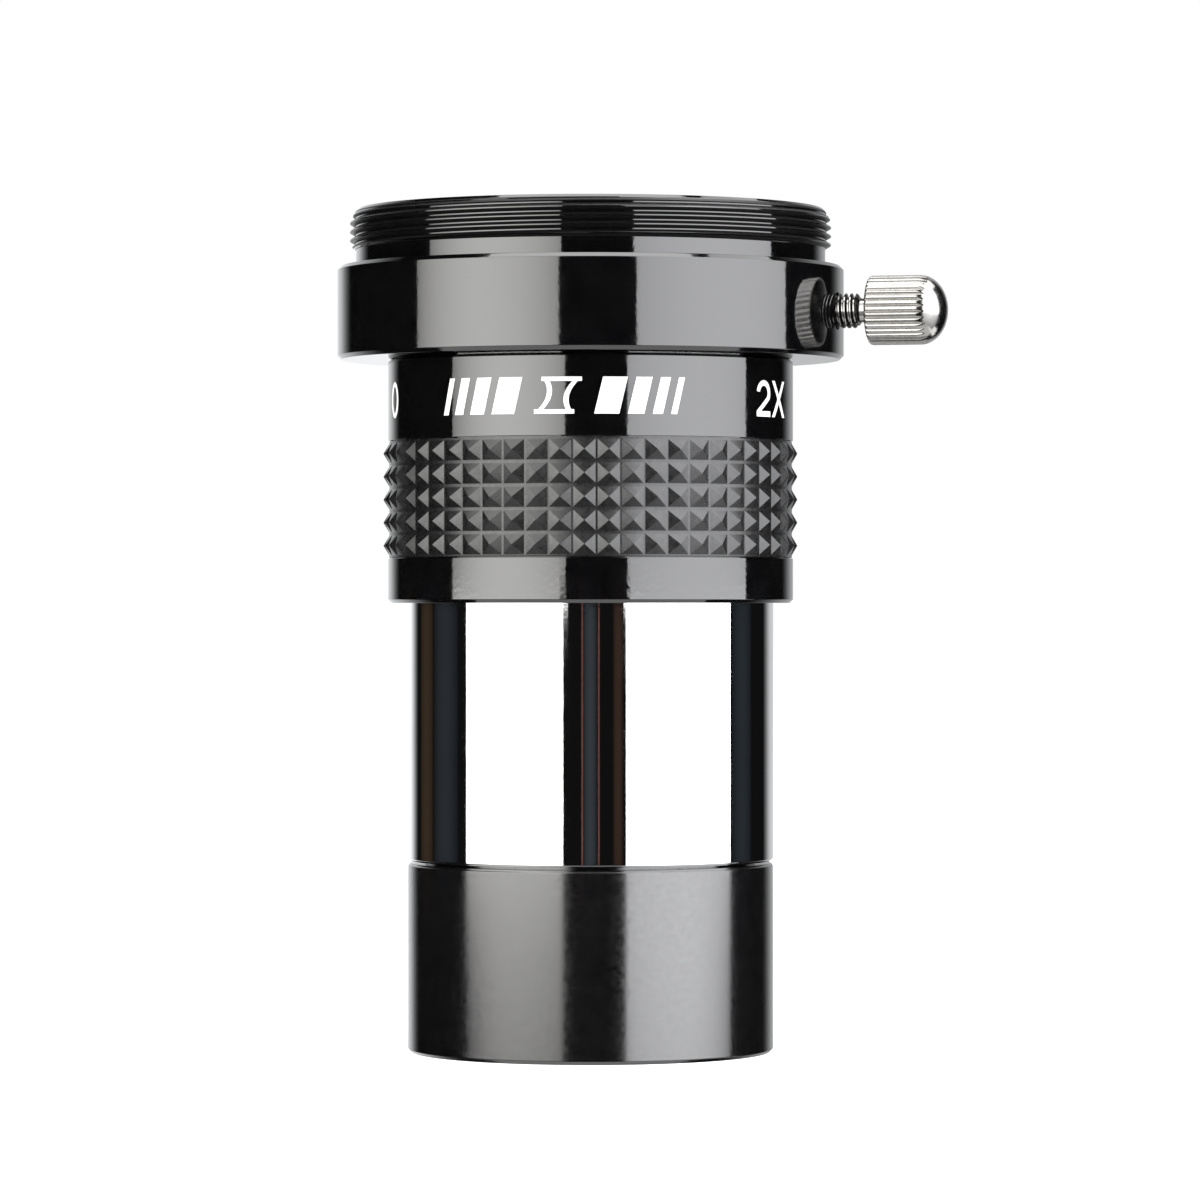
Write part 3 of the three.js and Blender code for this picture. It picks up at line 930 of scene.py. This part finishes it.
def times_sign(width, height, line):
    """Two crossing bars with level ends: four arms about a diamond."""
    side = line * 0.6
    across, up = width / 2 - side, height / 2
    crotch = side * up / across
    diamond = [(side, 0), (0, crotch), (-side, 0), (0, -crotch)]
    arm = [(side, 0), (across + side, up), (across - side, up), (0, crotch)]
    return [diamond] + [[(x * sx, z * sz) for x, z in arm] for sx in (1, -1) for sz in (1, -1)]


def moved(shapes, offset):
    """Shapes shifted to the right."""
    return [[(x + offset, z) for x, z in shape] for shape in shapes]


def bar_pattern(symbol, gap):
    """Bars that thin out to both sides of a symbol of the given width."""
    bars = []
    for side in (-1, 1):
        edge = symbol / 2 + gap
        for width in (2.1, 1.4, 0.9, 0.55):
            left = edge if side > 0 else -edge - width
            bars.append(slanted_bar(left, width))
            edge += width + gap
    return bars


def lens_symbol(half_width, half_line, bulge):
    """A hollow lens's section: two level ends joined by sides that bend inwards."""
    half_end = 0.18
    top = MARK_HEIGHT / 2
    symbol = []
    for z in (-top + half_end, top - half_end):
        left, right = -half_width - half_line + z * SLANT, half_width + half_line + z * SLANT
        symbol.append(rectangle(left, right, z - half_end, z + half_end))
    for line_x, bend in ((-half_width, bulge), (half_width, -bulge)):
        pairs = []
        for z in np.linspace(-top + 2 * half_end, top - 2 * half_end, 15):
            middle = line_x + bend * (1 - (2 * z / MARK_HEIGHT) ** 2) + SLANT * z
            pairs.append([(middle - half_line, z), (middle + half_line, z)])
        symbol += strip(pairs)
    return symbol


def make_printing():
    """The marks, all about the middle of the printed band."""
    main_mark, magnification_mark, ring_mark = -9.0, 62.0, -73.0
    printed("printed_bars", bar_pattern(5.4, 0.75), main_mark)
    printed("printed_lens_symbol", lens_symbol(1.5, 0.22, 0.75), main_mark)
    figure, cross = figure_two(2.2, MARK_HEIGHT, 0.46), times_sign(2.8, MARK_HEIGHT, 0.44)
    printed("printed_magnification", moved(figure, -1.5) + moved(cross, 1.35), magnification_mark)
    printed("printed_ring", ellipse_band(1.0, MARK_HEIGHT / 2, 0.4), ring_mark)


make_collar()
make_body()
make_grip()
make_barrel()
make_cell()
make_doublet()
make_retainer()
make_clamp_ring()
make_thumbscrew()
make_tip()
make_printing()


# ---- Studio ----

# The curved panels stand this far out, in metres. The next two are the heights on them that the camera sees
# mirrored in the cell's top and the barrel's top.
PANEL_RADIUS = 1.3
CELL_TOP_LEVEL = -0.045
BARREL_TOP_LEVEL = 0.0385
PANEL_BOTTOM = -1.2
PANEL_TOP = 2.2


def emission(name, color, strength):
    """A light panel's material. Its brightness is the strength times the mesh's own glow."""
    material = bpy.data.materials.new(name)
    material.use_nodes = True
    nodes, links = material.node_tree.nodes, material.node_tree.links
    nodes.clear()
    glow = nodes.new("ShaderNodeAttribute")
    glow.attribute_name = "glow"
    scaled = nodes.new("ShaderNodeMath")
    scaled.operation = "MULTIPLY"
    scaled.inputs[1].default_value = strength
    links.new(glow.outputs["Fac"], scaled.inputs[0])
    light = nodes.new("ShaderNodeEmission")
    light.inputs["Color"].default_value = (*color, 1)
    links.new(scaled.outputs["Value"], light.inputs["Strength"])
    out = nodes.new("ShaderNodeOutputMaterial")
    links.new(light.outputs["Emission"], out.inputs["Surface"])
    return material


def stage_object(name, mesh, material):
    """Puts a mesh on the stage, as part of the studio and not of the object."""
    mesh.materials.append(material)
    thing = bpy.data.objects.new(name, mesh)
    bpy.context.scene.collection.objects.link(thing)
    return thing


def set_glow(mesh, values):
    mesh.attributes.new("glow", "FLOAT", "POINT").data.foreach_set("value", values)


def arc_card(name, start, end, heights, strengths, color, edges=(1, 1), falloff=0.7):
    """A tall curved light panel. start and end are degrees from the camera's side, positive to the right. It
    has a strength at each of its heights, and edges are the shares of it left at the start and the end."""
    steps = max(4, int(abs(end - start) / 2))
    base = math.radians(-90 + CAMERA_AZIMUTH)
    verts, glow = [], []
    for height, strength in zip(heights, strengths):
        for k in range(steps + 1):
            angle = base + math.radians(start + (end - start) * k / steps)
            verts.append((PANEL_RADIUS * math.cos(angle), PANEL_RADIUS * math.sin(angle), height))
            edge = edges[0] if k < steps / 2 else edges[1]
            glow.append(strength * (edge + (1 - edge) * math.sin(math.pi * k / steps) ** falloff))
    faces = []
    for row in range(len(heights) - 1):
        for k in range(steps):
            first = row * (steps + 1) + k
            faces.append((first + 1, first, first + steps + 1, first + steps + 2))
    mesh = bpy.data.meshes.new(name)
    mesh.from_pydata(verts, [], faces)
    set_glow(mesh, glow)
    card = stage_object(name, mesh, emission(name, color, 1.0))
    card.visible_camera = False


def flat_card(name, left, right, before, behind, height, strength):
    """A level light panel, placed as seen from the camera's side: from left to right, and from before the
    object to behind it."""
    mesh = bpy.data.meshes.new(name)
    plan = ((left, behind), (right, behind), (right, before), (left, before))
    mesh.from_pydata([(x, y, height) for x, y in plan], [], [(0, 1, 2, 3)])
    set_glow(mesh, [1.0] * 4)
    card = stage_object(name, mesh, emission(name, (1, 1, 1), strength))
    card.rotation_euler.z = math.radians(CAMERA_AZIMUTH)
    card.visible_camera = False


def make_floor():
    """A plain pale floor, bright enough to read as white."""
    bm = bmesh.new()
    bmesh.ops.create_circle(bm, cap_ends=True, segments=64, radius=6)
    mesh = bpy.data.meshes.new("floor")
    bm.to_mesh(mesh)
    bm.free()
    material = bpy.data.materials.new("pale_floor")
    material.use_nodes = True
    shader = material.node_tree.nodes["Principled BSDF"]
    shader.inputs["Base Color"].default_value = (0.8, 0.8, 0.8, 1)
    shader.inputs["Roughness"].default_value = 0.9
    shader.inputs["Emission Color"].default_value = (1, 1, 1, 1)
    shader.inputs["Emission Strength"].default_value = 1.0
    floor = stage_object("floor", mesh, material)
    floor.location.z = -mm(0.02)
    floor.visible_glossy = False


def make_world():
    """White behind the object, and dark for everything that it reflects."""
    world = bpy.data.worlds.new("studio")
    bpy.context.scene.world = world
    world.use_nodes = True
    nodes, links = world.node_tree.nodes, world.node_tree.links
    nodes.clear()
    dark = nodes.new("ShaderNodeBackground")
    dark.inputs["Color"].default_value = (1, 1, 1, 1)
    dark.inputs["Strength"].default_value = 0.006
    white = nodes.new("ShaderNodeBackground")
    white.inputs["Color"].default_value = (1, 1, 1, 1)
    white.inputs["Strength"].default_value = 1.0
    path = nodes.new("ShaderNodeLightPath")
    mix = nodes.new("ShaderNodeMixShader")
    out = nodes.new("ShaderNodeOutputWorld")
    links.new(path.outputs["Is Camera Ray"], mix.inputs["Fac"])
    links.new(dark.outputs["Background"], mix.inputs[1])
    links.new(white.outputs["Background"], mix.inputs[2])
    links.new(mix.outputs["Shader"], out.inputs["Surface"])


def middle_card(name, start, end, strength, color, edge=1.0):
    """A panel at the height that only the plated barrel mirrors."""
    heights = (CELL_TOP_LEVEL, BARREL_TOP_LEVEL)
    arc_card(name, start, end, heights, (strength, strength), color, (edge, edge))


def make_softboxes():
    """Two tall softboxes in front. Each is dimmer towards its foot and wider at the top."""
    warm, cool = (1.0, 0.995, 0.975), (0.975, 0.98, 1.0)
    foot = (PANEL_BOTTOM, -0.2, CELL_TOP_LEVEL)
    fading_top = (BARREL_TOP_LEVEL, 0.35, PANEL_TOP)
    tall_top = (BARREL_TOP_LEVEL, PANEL_TOP)
    arc_card("softbox_left_foot", -84, -17, foot, (0.4, 0.6, 2.5), warm, (0.0, 0.6))
    arc_card("softbox_left_top", -84, -14, fading_top, (4.4, 4.0, 1.6), warm, (0.35, 0.55))
    arc_card("softbox_right_foot", 22, 98, foot, (0.5, 2.0, 4.9), cool, (0.75, 0.25))
    arc_card("softbox_right_top", 20.5, 98, tall_top, (4.1, 4.5), cool, (0.78, 0.72))
    middle_card("softbox_left_middle", -84, -17, 4.3, warm)
    middle_card("softbox_right_middle", 22, 98, 4.3, cool)


def make_studio():
    """The softboxes, a white backdrop that fades at its sides, and dim things between them."""
    make_floor()
    make_world()
    make_softboxes()
    for name, start, strength in (("backdrop_left", -138, 1.15), ("backdrop_right", 138, 0.65)):
        end = math.copysign(180, start)
        heights = (PANEL_BOTTOM, -PANEL_BOTTOM)
        arc_card(name, start, end, heights, (strength, strength), (0.97, 0.985, 1.0), (0, 1), 2.0)
    middle_card("camera_gap_cool", -4.5, 4.0, 0.06, (0.75, 0.85, 1.0), 0.3)
    for name, start in (("camera_gap_line_left", -5.6), ("camera_gap_line_right", 4.6)):
        middle_card(name, start, start + 1.0, 0.16, (1.0, 0.42, 0.35))
    middle_card("camera_gap_warm", 13.5, 20.5, 0.045, (1.0, 0.6, 0.45), 0.2)
    middle_card("left_gap_warm", -134, -117, 0.045, (1.0, 0.65, 0.42), 0.4)
    middle_card("left_gap_cool", -116, -91, 0.035, (0.75, 0.85, 1.0), 0.3)
    middle_card("right_gap_cool", 99, 121, 0.035, (0.7, 0.85, 1.0), 0.3)
    flat_card("overhead", -0.98, 0.98, -0.68, 0.5, 2.3, 3.6)
    flat_card("overhead_right", 1.0, 2.4, -0.7, 1.7, 2.3, 2.4)
    flat_card("underlight", -1.2, 1.2, -1.0, 0.5, -1.3, 0.95)
    flat_card("underlight_right", 1.2, 2.2, -0.9, 1.2, -1.3, 2.0)


def make_camera():
    """The photograph's view: level, at the object's mid height, with the thumbscrew to the right."""
    distance, height = 0.5, mm(39.2)  # metres from the optical axis, and above z = 0
    camera = bpy.data.objects.new("camera", bpy.data.cameras.new("camera"))
    bpy.context.scene.collection.objects.link(camera)
    azimuth = math.radians(CAMERA_AZIMUTH)
    camera.location = (distance * math.sin(azimuth), -distance * math.cos(azimuth), height)
    camera.rotation_euler = (math.pi / 2, 0, azimuth)
    camera.data.lens = 172.5
    camera.data.sensor_width = 36
    camera.data.shift_x = 0.0079
    camera.data.clip_start = 0.01
    bpy.context.scene.camera = camera


make_studio()
make_camera()
bpy.context.scene.view_settings.view_transform = "Standard"

bpy.context.view_layer.update()
